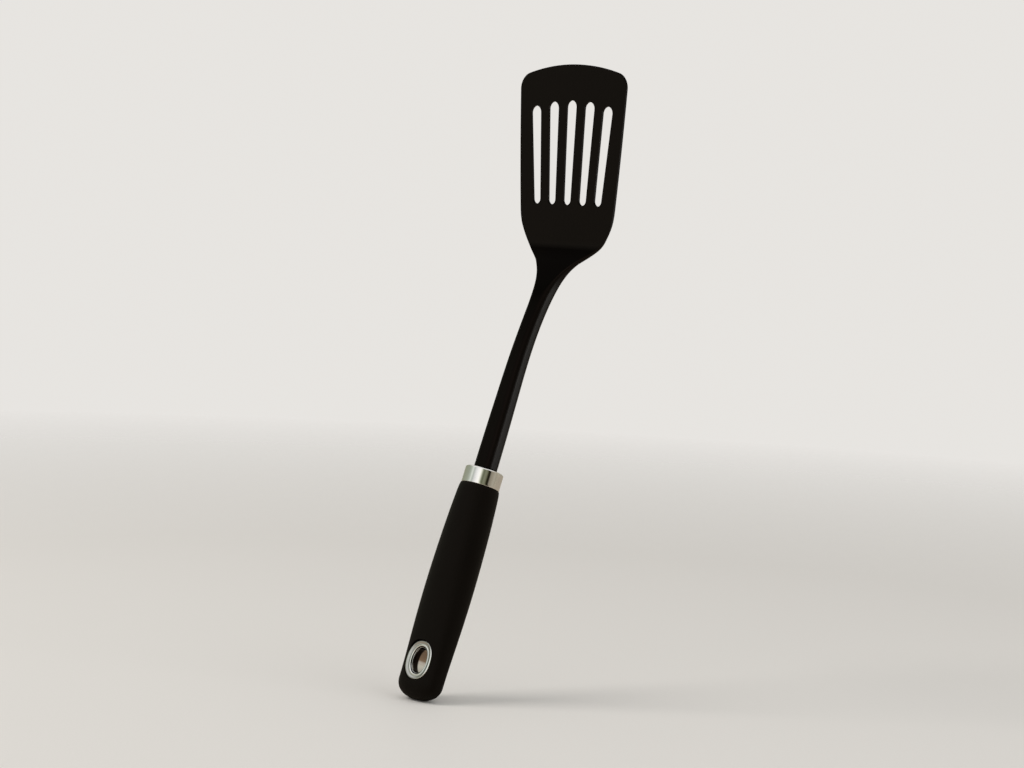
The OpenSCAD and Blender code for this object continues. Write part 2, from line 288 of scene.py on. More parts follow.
def oval(half_x, half_y, count, power=OVAL_POWER):
    """Superellipse; a power of 2 is a true ellipse."""
    e = 2 / power
    points = []
    for i in range(count):
        c, s = cos(360 * i / count), sin(360 * i / count)
        points.append((half_x * math.copysign(abs(c) ** e, c),
                       half_y * math.copysign(abs(s) ** e, s)))
    return points


def handle_ring(outline, z):
    return [put_handle((x, y, z)) for x, y in outline]


def handle_disc(radius, z, count):
    return handle_ring(oval(radius, radius, count, power=2.0), z)


def flatten(rings):
    return [point for ring in rings for point in ring]


# ---- nylon head, neck and shaft: one moulding ------------------------------------------
def blade_outline():
    """(x, z) from the bend line up the right side, over the top and down the left."""
    side = []
    for i in range(SIDE_STEPS + 1):
        z = SIDE_TOP * (i / SIDE_STEPS) ** 1.35      # closer together near the bend
        side.append((blade_half_width(z), z))
    corner_end = math.degrees(math.atan2(SIDE_TOP - TOP_ARC_Z, CORNER_X))
    for i in range(1, CORNER_STEPS + 1):
        t = corner_end * i / CORNER_STEPS
        side.append((CORNER_X + CORNER_R * cos(t), SIDE_TOP + CORNER_R * sin(t)))
    for i in range(1, TOP_STEPS + 1):
        t = mix(corner_end, 90, i / TOP_STEPS)
        side.append((TOP_EDGE_R * cos(t), TOP_ARC_Z + TOP_EDGE_R * sin(t)))
    return side + [(-x, z) for x, z in reversed(side[:-1])]


def outline_normals(outline):
    """Outward normals, turned square to the axis near the bend line."""
    square_below = 5
    last = len(outline) - 1
    normals = []
    for i, (x, z) in enumerate(outline):
        before, after = outline[max(0, i - 1)], outline[min(last, i + 1)]
        normal = Vector((after[1] - before[1], -(after[0] - before[0]))).normalized()
        if z < square_below:
            u = ramp(0, square_below, z)
            sideways = Vector((1 if x > 0 else -1, 0))
            normal = (normal * u + sideways * (1 - u)).normalized()
        normals.append(normal)
    return normals


def tapered_slot(index):
    """The slot's rim on the flat face, its normals into the hole, and its body.

    The body is (low centre, top centre, low radius, top radius), edge rounding included.
    """
    low_r, top_r = SLOT_LOW_W / 2, SLOT_TOP_W / 2
    low = Vector((index * SLOT_LOW_PITCH, SLOT_LOW_Z + low_r))
    drop = SLOT_DROP * index * index / 2
    top = Vector((index * SLOT_TOP_PITCH, SLOT_TOP_Z - drop - top_r))
    run = top - low
    heading = math.degrees(math.atan2(run.y, run.x))
    turn = math.degrees(math.acos((low_r - top_r) / run.length))

    def end_arc(centre, radius, start, end):
        return [(centre, radius, mix(start, end, i / SLOT_END_STEPS))
                for i in range(SLOT_END_STEPS + 1)]

    def straight(angle, first, first_r, second, second_r):
        out = Vector((cos(angle), sin(angle)))
        start, end = first + out * first_r, second + out * second_r
        return [(start.lerp(end, i / SLOT_SIDE_STEPS), 0.0, angle)
                for i in range(1, SLOT_SIDE_STEPS)]

    points = end_arc(top, top_r, heading - turn, heading + turn)
    points += straight(heading + turn, top, top_r, low, low_r)
    points += end_arc(low, low_r, heading + turn, heading - turn + 360)
    points += straight(heading - turn, low, low_r, top, top_r)
    rim = [(c.x + (r + EDGE_R) * cos(t), c.y + (r + EDGE_R) * sin(t)) for c, r, t in points]
    inward = [Vector((-cos(t), -sin(t))) for _, _, t in points]
    return rim, inward, (low, top, low_r + EDGE_R, top_r + EDGE_R)


def near_slot(point, slots, margin):
    for _, _, (low, top, low_r, top_r) in slots:
        run = top - low
        u = min(1, max(0, (Vector(point) - low).dot(run) / run.length_squared))
        if (Vector(point) - (low + run * u)).length < mix(low_r, top_r, u) + margin:
            return True
    return False


def fill_points(slots):
    """Grid of points inside the flat face, clear of every edge."""
    points = []
    for z in steps(2.0, BLADE_LEN, FILL_STEP):
        for x in steps(-BLADE_TOP_W / 2 + 1, BLADE_TOP_W / 2, FILL_STEP):
            side = blade_half_width(min(z, SIDE_TOP)) - FILL_MARGIN
            top = TOP_ARC_Z + math.sqrt(TOP_EDGE_R ** 2 - x * x) - FILL_MARGIN
            from_corner = math.hypot(abs(x) - CORNER_X, z - SIDE_TOP)
            in_corner = (z > SIDE_TOP and abs(x) > CORNER_X
                         and from_corner > CORNER_R - FILL_MARGIN)
            clear = not near_slot((x, z), slots, FILL_SLOT_MARGIN)
            if abs(x) < side and z < top and clear and not in_corner:
                points.append(Vector((x, z)))
    return points


def triangulate_face(inner, slots):
    """Flat face with its slots left open.

    Returns the points, the triangles, the point numbers along the outline and along the
    bend line (right to left), and those round each slot.
    """
    count = len(inner)
    points = [Vector(p) for p in inner]
    edges = [(i, i + 1) for i in range(count - 1)]
    bend = [0] + list(range(count, count + BEND_POINTS - 2)) + [count - 1]
    for i in range(1, BEND_POINTS - 1):
        points.append(Vector((mix(inner[0][0], inner[-1][0], i / (BEND_POINTS - 1)), 0.0)))
    edges += list(zip(bend, bend[1:]))
    loops = []
    for rim, _, _ in slots:
        loop = list(range(len(points), len(points) + len(rim)))
        loops.append(loop)
        points += [Vector(p) for p in rim]
        edges += list(zip(loop, loop[1:] + loop[:1]))
    points += fill_points(slots)
    flat, _, tris, origins, *_ = delaunay_2d_cdt(points, edges, [], 1, 1e-6, True)
    new_number = {old: new for new, olds in enumerate(origins) for old in olds}
    tris = [t for t in tris
            if not near_slot(sum((flat[i] for i in t), Vector((0, 0))) / len(t), slots, -1e-4)]

    def renumber(numbers):
        return [new_number[i] for i in numbers]

    return flat, tris, renumber(range(count)), renumber(bend), [renumber(p) for p in loops]


def edge_arc(radius, half_depth):
    """(outward, depth) round an edge from front to back, the flats' own points left out."""
    back = []
    for i in range(1, ARC_STEPS + 1):
        t = 90 * i / ARC_STEPS
        back.append((radius * sin(t), half_depth - radius * (1 - cos(t))))
    return [(out, -depth) for out, depth in back] + back[::-1]


def shaft_section(s):
    """(x, depth) round a section: front, left edge, back, right edge."""
    grow = SHAFT_GROW * ramp(*SHAFT_GROW_SPAN, s)
    half_w, half_d = neck_half_width(s) + grow, neck_depth(s) / 2 + grow
    radius = min(half_d * 0.97, mix(EDGE_R, SHAFT_CORNER_R, ramp(*SHAFT_ROUNDING, s)))
    flat = half_w - radius
    half = [(mix(flat, -flat, i / (BEND_POINTS - 1)), -half_d) for i in range(BEND_POINTS)]
    half += [(-flat - out, depth) for out, depth in edge_arc(radius, half_d)]
    return half + [(-x, -depth) for x, depth in half]


def build_head():
    half = BLADE_T / 2
    outline = blade_outline()
    normals = outline_normals(outline)
    inner = [(x - n.x * EDGE_R, z - n.y * EDGE_R) for (x, z), n in zip(outline, normals)]
    inner[0] = (outline[0][0] - EDGE_R, 0.0)
    inner[-1] = (outline[-1][0] + EDGE_R, 0.0)
    slots = [tapered_slot(k) for k in range(-2, 3)]
    flat, tris, border, bend, loops = triangulate_face(inner, slots)

    verts, faces = [], []

    def add(point):
        verts.append(put(point))
        return len(verts) - 1

    front = [add((v.x, -half, v.y)) for v in flat]
    back = [add((v.x, half, v.y)) for v in flat]
    for tri in tris:
        faces.append([front[i] for i in tri])
        faces.append([back[i] for i in reversed(tri)])

    def edge_rows(rim, directions, numbers):
        """For each rim point, vertices from the front face round the edge to the back."""
        rows = []
        for (x, z), n, number in zip(rim, directions, numbers):
            arc = [add((x + n.x * out, depth, z + n.y * out))
                   for out, depth in edge_arc(EDGE_R, half)]
            rows.append([front[number]] + arc + [back[number]])
        return rows

    def join_rows(rows):
        for p, q in zip(rows, rows[1:]):
            for j in range(len(p) - 1):
                faces.append([p[j], q[j], q[j + 1], p[j + 1]])

    outer = edge_rows(inner, normals, border)
    join_rows(outer)
    for (rim, inward, _), numbers in zip(slots, loops):
        rows = edge_rows(rim, inward, numbers)
        join_rows(rows + rows[:1])

    # neck and shaft: sections square to the centreline, from the bend into the ferrule
    right, left = outer[0], outer[-1]
    previous = [front[i] for i in bend] + left[1:-1]
    previous += [back[i] for i in reversed(bend)] + right[-2:0:-1]
    stations = steps(0.5, 46, 0.75)
    stations += steps(stations[-1] + 0.75, SHAFT_LEN + 1.5, 1.5)
    for s in stations:
        y, z = path_point(s)
        angle = lean(s)
        ring = [add((x, y + depth * cos(angle), z - depth * sin(angle)))
                for x, depth in shaft_section(s)]
        faces += bridge(previous, ring)
        previous = ring
    faces.append(previous)
    ob = make("turner_head", verts, faces)
    add_weighted_normals(ob)
    return ob


# ---- soft grip -------------------------------------------------------------------------
# distances of the last rings below the grip's top
GRIP_TOP_RINGS = (4.6, 3.8, 3.1, 2.5, 2.0, 1.6, 1.25, 0.95, 0.7, 0.5, 0.32, 0.18, 0.08, 0.0)
# (radius, height from the top) of the dish that leaves a shadow line under the ferrule
GRIP_DISH = ((9.4, -0.02), (8.6, -0.25), (7.6, -0.3))
# eyelet pockets, front and back, then the bore: (name, width, clearance, y start, y end)
GRIP_CUTS = (
    ("c1", EYE_RIM_W, 0.1, -20, -EYE_HALF_D + 1.8),
    ("c2", EYE_RIM_W, 0.1, EYE_HALF_D - 1.8, 20),
    ("c3", EYE_W, 0.9, -20, 20),
)


def oval_cutter(name, width, clearance, y_start, y_end):
    count = CUTTER_POINTS
    outline = oval(width / 2 + clearance, (width + EYE_STRETCH) / 2 + clearance, count)
    rings = [[put_handle((x, y, z + EYE_Z)) for x, z in outline] for y in (y_start, y_end)]
    caps = [list(range(count)), list(range(2 * count - 1, count - 1, -1))]
    return make(name, flatten(rings), caps + loft(rings))


def cut(ob, cutter):
    modifier = ob.modifiers.new("cut", "BOOLEAN")
    modifier.operation = "DIFFERENCE"
    modifier.solver = "EXACT"
    modifier.object = cutter
    depsgraph = bpy.context.evaluated_depsgraph_get()
    mesh = bpy.data.meshes.new_from_object(ob.evaluated_get(depsgraph))
    ob.modifiers.remove(modifier)
    ob.data = mesh
    bpy.data.objects.remove(cutter)


def build_grip():
    count = GRIP_POINTS
    stations = []           # (height, share of the width, share of the depth)
    for i in range(1, BUTT_STEPS):
        z = GRIP_BUTT_LEN * (1 - cos(90 * i / BUTT_STEPS))
        u = (GRIP_BUTT_LEN - z) / GRIP_BUTT_LEN
        width_share = (1 - u ** GRIP_BUTT_POWER) ** (1 / GRIP_BUTT_POWER)
        stations.append((z, width_share, (1 - u ** 2) ** 0.5))
    stations += [(z, 1, 1) for z in steps(GRIP_BUTT_LEN, GRIP_LEN - 5, 1.25)]
    stations += [(GRIP_LEN - below, 1, 1) for below in GRIP_TOP_RINGS]
    rings = []
    for z, width_share, depth_share in stations:
        half_w, half_d, power = grip_section(max(z, GRIP_BUTT_LEN))
        outline = oval(half_w * width_share, half_d * depth_share, count, power)
        rings.append(handle_ring(outline, z))
    rings += [handle_disc(radius, GRIP_LEN + z, count) for radius, z in GRIP_DISH]

    verts = [put_handle((0, 0, 0))] + flatten(rings)
    faces = [[0, 1 + (i + 1) % count, 1 + i] for i in range(count)]
    faces += loft(rings, start=1)
    faces.append(list(range(len(verts) - count, len(verts))))
    ob = make("soft_grip", verts, faces)
    for cutter in GRIP_CUTS:
        cut(ob, oval_cutter(*cutter))
    ob.data.materials.clear()       # drops any empty slot left by the cuts
    ob.data.shade_smooth()
    ob.data.set_sharp_from_angle(angle=math.radians(38))
    add_weighted_normals(ob)
    return ob


# ---- ferrule ---------------------------------------------------------------------------
# rolled foot: (inset from the outer radius, height above the grip)
FERRULE_FOOT = ((0.65, 0.55), (0.55, 0.08), (0.36, 0.03), (0.24, 0.05), (0.15, 0.11),
                (0.07, 0.21), (0.02, 0.3), (0, 0.38))
FERRULE_TOP_R = 0.9
# opening for the shaft: (gap round the shaft, depth below the ferrule's top)
FERRULE_OPENING = ((0.42, 0), (0.28, 0.04), (0.16, 0.16), (0.12, 0.35), (0.12, 0.8))
FERRULE_OPENING_R = 2.5
FERRULE_WALL = 0.8


def rounded_box_reach(width, depth, radius, angle):
    """Distance from the centre to a rounded rectangle's edge, by bisection."""
    c, s = abs(cos(angle)), abs(sin(angle))
    low, high = 0.0, 12.0
    for _ in range(40):
        reach = (low + high) / 2
        qx, qy = reach * c - (width / 2 - radius), reach * s - (depth / 2 - radius)
        outside = math.hypot(max(qx, 0), max(qy, 0)) + min(max(qx, qy), 0) - radius
        if outside < 0:
            low = reach
        else:
            high = reach
    return low


def build_ferrule():
    profile = [(FERRULE_R - inset, z) for inset, z in FERRULE_FOOT]
    profile += [(FERRULE_R, z) for z in steps(1.2, FERRULE_LEN - 1.2, 0.9)]
    for i in range(9):
        t = 90 * i / 8
        profile.append((FERRULE_R - FERRULE_TOP_R + FERRULE_TOP_R * cos(t),
                        FERRULE_LEN - FERRULE_TOP_R + FERRULE_TOP_R * sin(t)))
    profile.append((FERRULE_R - FERRULE_TOP_R - 0.5, FERRULE_LEN))
    rings = [handle_disc(radius, GRIP_LEN + z, FERRULE_POINTS) for radius, z in profile]
    for gap, below in FERRULE_OPENING:
        outline = []
        for i in range(FERRULE_POINTS):
            angle = 360 * i / FERRULE_POINTS
            reach = rounded_box_reach(SHAFT_LOW_W + 2 * gap, SHAFT_LOW_D + 2 * gap,
                                      FERRULE_OPENING_R + gap, angle)
            outline.append((reach * cos(angle), reach * sin(angle)))
        rings.append(handle_ring(outline, GRIP_LEN + (FERRULE_LEN - below)))
    # hidden inside: out under the top plate and back down to the foot
    for z in (FERRULE_LEN - 0.82, 0.6):
        rings.append(handle_disc(FERRULE_R - FERRULE_WALL, GRIP_LEN + z, FERRULE_POINTS))
    ob = make("steel_ferrule", flatten(rings), loft(rings, closed=True))
    add_weighted_normals(ob)
    return ob


# ---- hanging eyelet, two halves --------------------------------------------------------
EYE_BARREL_INSET = 0.5
# (offset from the hole's radius, depth below the half's outer end): rolled edge of the
# barrel, fine gap, inner lip, shallow dish, raised outer lip
EYE_RIM = (
    (-0.49, 1.25), (-0.44, 1.12), (-0.36, 1.05), (-0.27, 1.06), (-0.2, 1.15), (-0.16, 1.3),
    (-0.12, 1.5), (0.0, 1.55), (0.04, 1.45), (0.05, 1.2), (0.05, 0.95), (0.09, 0.78),
    (0.16, 0.64), (0.26, 0.52), (0.38, 0.43), (0.52, 0.37), (0.66, 0.36), (0.8, 0.42),
    (1.0, 0.50), (1.3, 0.52), (1.6, 0.45), (1.85, 0.33), (2.05, 0.20), (2.2, 0.10),
    (2.35, 0.03), (2.5, 0.0), (2.7, 0.03), (2.9, 0.10), (3.05, 0.20), (3.17, 0.33),
    (3.25, 0.5), (3.3, 0.72), (3.3, 1.3), (3.25, 1.75), (3.2, 1.86), (1.0, 1.9),
)


def build_eyelet(name, side):
    """One half; side is -1 for the front and 1 for the back."""
    profile = [(EYE_R - EYE_BARREL_INSET, mix(0.0, EYE_HALF_D - 1.45, i / 8)) for i in range(9)]
    profile += [(EYE_R + offset, EYE_HALF_D - depth) for offset, depth in EYE_RIM]
    profile.append((EYE_R + 1.0, 0.04))
    rings = []
    for radius, y in profile:
        outline = oval(radius, radius + EYE_STRETCH / 2, EYE_POINTS)
        rings.append([put_handle((x, side * y, z + EYE_Z)) for x, z in outline])
    ob = make(name, flatten(rings), loft(rings, closed=True))
    for edge in ob.data.edges:      # a crisp seam, so that the barrel runs on smoothly
        if edge.vertices[0] < EYE_POINTS and edge.vertices[1] < EYE_POINTS:
            edge.use_edge_sharp = True
    return ob


# ---- shader graphs ---------------------------------------------------------------------
class Graph:
    """Node tree of a material or world, with short calls for the nodes used here."""

    def __init__(self, owner):
        owner.use_nodes = True
        self.tree = owner.node_tree
        self.tree.nodes.clear()

    def node(self, kind, **settings):
        node = self.tree.nodes.new("ShaderNode" + kind)
        for key, value in settings.items():
            setattr(node, key, value)
        return node

    def feed(self, socket, value):
        """Links a socket, or sets a value; a colour of three numbers gets alpha 1."""
        if isinstance(value, bpy.types.NodeSocket):
            self.tree.links.new(value, socket)
        elif socket.type == "RGBA":
            socket.default_value = (*value, 1)
        else:
            socket.default_value = value

    def remap(self, value, span, to=(0, 1), smooth=False):
        node = self.node("MapRange", clamp=True)
        if smooth:
            node.interpolation_type = "SMOOTHSTEP"
        self.feed(node.inputs["Value"], value)
        for key, limit in zip(("From Min", "From Max", "To Min", "To Max"), (*span, *to)):
            self.feed(node.inputs[key], limit)
        return node.outputs[0]

    def math(self, operation, first, second=0.0):
        node = self.node("Math", operation=operation)
        self.feed(node.inputs[0], first)
        self.feed(node.inputs[1], second)
        return node.outputs[0]

    def blend(self, share, low, high):
        """Colour mix; sockets 6, 7 and output 2 are the node's colour sockets."""
        node = self.node("Mix", data_type="RGBA")
        for index, value in ((0, share), (6, low), (7, high)):
            self.feed(node.inputs[index], value)
        return node.outputs[2]

    def dot(self, vector, axis):
        node = self.node("VectorMath", operation="DOT_PRODUCT")
        self.feed(node.inputs[0], vector)
        self.feed(node.inputs[1], tuple(axis))
        return node.outputs["Value"]

    def z_of(self, vector):
        node = self.node("SeparateXYZ")
        self.feed(node.inputs[0], vector)
        return node.outputs["Z"]

    def mix_shaders(self, share, low, high):
        node = self.node("MixShader")
        for socket, value in zip(node.inputs, (share, low, high)):
            self.feed(socket, value)
        return node.outputs[0]

    def background(self, color, strength):
        node = self.node("Background")
        self.feed(node.inputs[0], color)
        self.feed(node.inputs[1], strength)
        return node.outputs[0]


class Surface(Graph):
    """Material with a Principled shader; textures use object coordinates in metres."""

    def __init__(self, name):
        self.material = bpy.data.materials.new(name)
        super().__init__(self.material)
        self.out = self.node("OutputMaterial")
        self.shader = self.node("BsdfPrincipled")
        self.feed(self.out.inputs[0], self.shader.outputs[0])
        self.coords = self.node("TexCoord").outputs["Object"]

    def set(self, key, value):
        self.feed(self.shader.inputs[key], value)

    def noise(self, scale, detail=3, roughness=0.6, rotation=(0, 0, 0)):
        """Noise at a scale per metre, one number or one for each axis."""
        mapping = self.node("Mapping")
        mapping.inputs["Scale"].default_value = (
            scale if isinstance(scale, tuple) else (scale, scale, scale))
        mapping.inputs["Rotation"].default_value = rotation
        self.feed(mapping.inputs["Vector"], self.coords)
        node = self.node("TexNoise")
        node.inputs["Scale"].default_value = 1
        node.inputs["Detail"].default_value = detail
        node.inputs["Roughness"].default_value = roughness
        self.feed(node.inputs["Vector"], mapping.outputs[0])
        return node.outputs["Fac"]

    def bump(self, height, distance, strength, normal=None):
        node = self.node("Bump")
        node.inputs["Distance"].default_value = distance
        node.inputs["Strength"].default_value = strength
        self.feed(node.inputs["Height"], height)
        if normal is not None:
            self.feed(node.inputs["Normal"], normal)
        return node.outputs[0]

    def round_edges(self, radius):
        node = self.node("Bevel", samples=4)
        node.inputs["Radius"].default_value = radius
        return node.outputs[0]


# ---- materials -------------------------------------------------------------------------
MIDDLE = (0.3, 0.7)         # the range most noise values fall in


def nylon_material():
    m = Surface("nylon_matt_black")
    grain = m.noise(scale=3200)
    pebble = m.noise(scale=900, detail=2, roughness=0.5)
    flow = m.noise(scale=(26, 26, 9), roughness=0.5)        # slow marks along the blade
    scuff = m.noise(scale=(2600, 2600, 60), detail=2, roughness=0.7)    # faint rubbed lines
    scuff = m.remap(scuff, span=(0.62, 0.78))
    color = m.blend(m.remap(flow, span=(0.35, 0.7)),
                    low=(0.0011, 0.0008, 0.0006), high=(0.0017, 0.0012, 0.0009))
    color = m.blend(m.remap(grain, span=(0.55, 0.8), to=(0, 0.5)),
                    low=color, high=(0.0032, 0.0025, 0.0020))
    m.set("Base Color", color)
    rough = m.remap(flow, span=MIDDLE, to=(0.40, 0.47))
    m.set("Roughness", m.math("ADD", rough, m.remap(scuff, span=(0, 1), to=(0, 0.07))))
    # faces that look upwards, like the neck's front, stay deep black
    upward = m.z_of(m.node("NewGeometry").outputs["Normal"])
    m.set("Specular IOR Level", m.remap(upward, span=(0.22, 0.50), to=(0.107, 0.010)))
    m.set("Specular Tint", (1.0, 0.72, 0.62))
    pebbled = m.bump(pebble, distance=0.00003, strength=0.5)
    m.set("Normal", m.bump(grain, distance=0.000014, strength=0.7, normal=pebbled))
    return m.material


def grip_material():
    m = Surface("soft_touch_black")
    fine = m.noise(scale=4200, roughness=0.65)
    slow = m.noise(scale=(38, 38, 22), roughness=0.5)
    lint = m.noise(scale=1300, detail=1, roughness=0.4)
    color = m.blend(m.remap(slow, span=(0.35, 0.7)),
                    low=(0.0022, 0.0017, 0.0013), high=(0.0030, 0.0024, 0.0018))
    color = m.blend(m.remap(lint, span=(0.72, 0.8), to=(0, 0.35)),
                    low=color, high=(0.014, 0.012, 0.010))
    m.set("Base Color", color)
    m.set("Roughness", m.remap(slow, span=MIDDLE, to=(0.56, 0.64)))
    m.set("Specular IOR Level", 0.09)
    m.set("Specular Tint", (1.0, 0.84, 0.72))
    m.set("Sheen Weight", 0.008)
    m.set("Sheen Roughness", 0.5)
    rounded = m.round_edges(radius=0.00025)
    m.set("Normal", m.bump(fine, distance=0.000018, strength=0.8, normal=rounded))
    return m.material


def ferrule_material():
    m = Surface("polished_steel")
    steel, rough = (0.80, 0.79, 0.77), 0.055
    # fine lines run round the piece: stretched across the axis, tight along it
    lines = m.noise(scale=(140, 140, 5200), rotation=(math.radians(HANDLE_LEAN), 0, 0))
    cloud = m.noise(scale=260)
    m.set("Base Color", m.blend(m.remap(cloud, span=MIDDLE),
                                low=steel, high=tuple(v * 0.93 for v in steel)))
    m.set("Metallic", 1.0)
    m.set("Roughness", m.math("ADD", m.remap(cloud, span=MIDDLE, to=(rough, rough * 1.35)),
                              m.remap(lines, span=(0.4, 0.7), to=(0, 0.04))))
    m.set("Normal", m.bump(lines, distance=0.000004, strength=0.5))
    return m.material


def eyelet_material():
    m = Surface("satin_eyelet")
    speck = m.noise(scale=2400)
    cloud = m.noise(scale=420)
    c, s = cos(HANDLE_LEAN), sin(HANDLE_LEAN)

    def measure(axis, start):
        """Millimetres along an axis, from a start."""
        return m.math("SUBTRACT", m.dot(m.coords, [1000 * v for v in axis]), start)

    # through the handle (negative to the front), across it, and up it from the eyelet's centre
    foot_y, foot_z = BLADE_Y + FOOT_Y, BLADE_Z + FOOT_Z
    through = measure((0, c, -s), foot_y * c - foot_z * s)
    across = measure((1, 0, 0), 0.0)
    upward = measure((0, s, c), foot_y * s + foot_z * c + EYE_Z)
    depth = m.math("SUBTRACT", EYE_HALF_D, m.math("ABSOLUTE", through))   # below the rim's top

    # distance from the eyelet's centre, the upward part shrunk to make the oval a circle
    upward_shrink = 0.738
    power_x = m.math("POWER", m.math("ABSOLUTE", across), OVAL_POWER)
    shrunk = m.math("ABSOLUTE", m.math("MULTIPLY", upward, upward_shrink))
    power_z = m.math("POWER", shrunk, OVAL_POWER)
    ring = m.math("POWER", m.math("ADD", power_x, power_z), 1 / OVAL_POWER)

    # masks: the dish; painted shade in the gap round the barrel and in a dark band in the front
    # half; the bore, painted with a reflection
    dish = m.math("MULTIPLY", m.remap(ring, span=(EYE_R + 0.75, EYE_R + 0.95)),
                  m.remap(ring, span=(EYE_R + 2.3, EYE_R + 2.5), to=(1, 0)))
    gap = m.math("MULTIPLY", m.remap(depth, span=(0.62, 0.75)),
                 m.remap(ring, span=(EYE_R - 0.32, EYE_R - 0.24)))
    painted_shade_band = m.math("MULTIPLY", m.remap(through, span=(-5.1, -4.6)),
                  m.remap(through, span=(-1.6, -0.9), to=(1, 0)))
    painted_shade = m.math("MAXIMUM", gap, painted_shade_band)
    bore = m.remap(depth, span=(2.5, 3.0))

    color = m.blend(m.remap(cloud, span=MIDDLE), low=(0.84, 0.84, 0.82), high=(0.78, 0.78, 0.77))
    speckled = m.math("MULTIPLY", dish, m.remap(speck, span=MIDDLE, to=(0.6, 1.0)))
    color = m.blend(speckled, low=color, high=(0.40, 0.40, 0.385))
    # painted reflection in the bore: pale below, brown above
    bore_painted_reflection = m.blend(m.remap(upward, span=(-0.5, 0.5)),
                         low=(0.90, 0.92, 0.96), high=(0.42, 0.32, 0.25))
    color = m.blend(bore, low=color, high=bore_painted_reflection)
    # painted shade: near black in the gap and in the band
    m.set("Base Color", m.blend(painted_shade, low=color, high=(0.012, 0.009, 0.007)))
    m.set("Metallic", 1.0)
    dish_roughness = 0.18
    m.set("Roughness", m.math("ADD", m.math("MULTIPLY", dish, dish_roughness),
                              m.remap(cloud, span=MIDDLE, to=(0.10, 0.15))))
    m.set("Normal", m.bump(m.math("MULTIPLY", speck, dish), distance=0.000012, strength=0.5))
    return m.material


def core_material():
    m = Surface("moulded_core")
    fine = m.noise(scale=1500)
    m.set("Base Color", m.blend(m.remap(fine, span=MIDDLE),
                                low=(0.022, 0.02, 0.018), high=(0.03, 0.027, 0.025)))
    m.set("Roughness", m.remap(fine, span=MIDDLE, to=(0.5, 0.62)))
    m.set("Normal", m.bump(fine, distance=0.00002, strength=0.6))
    return m.material


def floor_material():
    m = Surface("pale_floor")
    tiny = m.noise(scale=900, detail=2, roughness=0.5)
    pale = m.blend(m.remap(tiny, span=MIDDLE), low=(0.80, 0.78, 0.75), high=(0.82, 0.80, 0.77))
    m.set("Roughness", 0.62)
    m.set("Specular IOR Level", 0.25)
    # painted reflection: warmer where it is mirrored; painted shade: nearly black in mirrorings of
    # mirrorings
    path = m.node("LightPath")
    warm = m.blend(path.outputs["Is Glossy Ray"], low=pale, high=(0.62, 0.54, 0.43))
    repeated = m.math("GREATER_THAN", path.outputs["Glossy Depth"], 1.5)
    darkening = 0.95
    m.set("Base Color", m.blend(m.math("MULTIPLY", repeated, darkening),
                                low=warm, high=(0.0, 0.0, 0.0)))
    # see-through from below, and fading out far away
    geometry = m.node("NewGeometry")
    distance = m.node("VectorMath", operation="LENGTH")
    m.feed(distance.inputs[0], m.coords)
    fade = m.remap(distance.outputs["Value"], span=(0.55, 1.5))
    hide = m.math("MAXIMUM", geometry.outputs["Backfacing"], fade)
    clear = m.node("BsdfTransparent").outputs[0]
    m.feed(m.out.inputs[0], m.mix_shaders(hide, low=m.shader.outputs[0], high=clear))
    return m.material


# ---- the turner ------------------------------------------------------------------------
def install(ob, material, replaced):
    ob.data.materials.append(material)
    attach(ob, "root")
    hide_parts(replaced)


nylon = nylon_material()
soft_touch = grip_material()
polished_steel = ferrule_material()
satin_steel = eyelet_material()
core_plastic = core_material()

head = build_head()
install(head, nylon, "head_and_shaft")
install(build_grip(), soft_touch, "grip_sleeve")
install(build_ferrule(), polished_steel, "ferrule")
for half_name, half_side in (("front", -1), ("back", 1)):
    eyelet = build_eyelet("eyelet_%s_rim" % half_name, half_side)
    install(eyelet, satin_steel, "eyelet_%s" % half_name)

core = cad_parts["handle_core"]
core.data.materials.clear()
core.data.materials.append(core_plastic)


# ---- studio: from here on, places and sizes are in metres unless noted -----------------
def build_floor():
    half, gap = 1.6, 0.0001
    mesh = bpy.data.meshes.new("floor")
    corners = [(-half, -half, 0), (half, -half, 0), (half, half, 0), (-half, half, 0)]
    mesh.from_pydata(corners, [], [[0, 1, 2, 3]])
    floor = bpy.data.objects.new("floor", mesh)
    bpy.context.scene.collection.objects.link(floor)
    floor.location.z = CAD_LO.z - gap
    mesh.materials.append(floor_material())


# camera: a long lens a little above the turner and 44 degrees to its right.
# It is aimed in a frame that is then tilted about X and moved back; lengths in millimetres
CAMERA_TURN, CAMERA_PITCH, CAMERA_TILT = 44.465, 7.251, 4.2028
CAMERA_PLACE, CAMERA_SHIFT = Vector((897.516, -851.049, 318.505)), Vector((0, 38.409, 0.379))
SENSOR_WIDTH, LENS = 36, 87.890625
TO_CAMERA = Vector((sin(CAMERA_TURN), -cos(CAMERA_TURN), 0))     # both level
CAMERA_RIGHT = Vector((cos(CAMERA_TURN), sin(CAMERA_TURN), 0))


def build_camera():
    ahead = Vector((-sin(CAMERA_TURN), cos(CAMERA_TURN), 0))
    vertical = Vector((0, 0, 1))
    tilt = Matrix.Rotation(math.radians(CAMERA_TILT), 3, "X")
    right = tilt @ CAMERA_RIGHT
    forward = tilt @ (ahead * cos(CAMERA_PITCH) - vertical * sin(CAMERA_PITCH))
    up = tilt @ (ahead * sin(CAMERA_PITCH) + vertical * cos(CAMERA_PITCH))
    place = tilt @ CAMERA_PLACE - CAMERA_SHIFT
    camera = bpy.data.objects.new("camera", bpy.data.cameras.new("camera"))
    bpy.context.scene.collection.objects.link(camera)
    camera.data.sensor_width = SENSOR_WIDTH
    camera.data.lens = LENS
    camera.data.clip_start, camera.data.clip_end = 0.05, 20
    rows = [(right[k], up[k], -forward[k], place[k] * MM) for k in range(3)]
    camera.matrix_world = Matrix((*rows, (0, 0, 0, 1)))
    bpy.context.scene.camera = camera


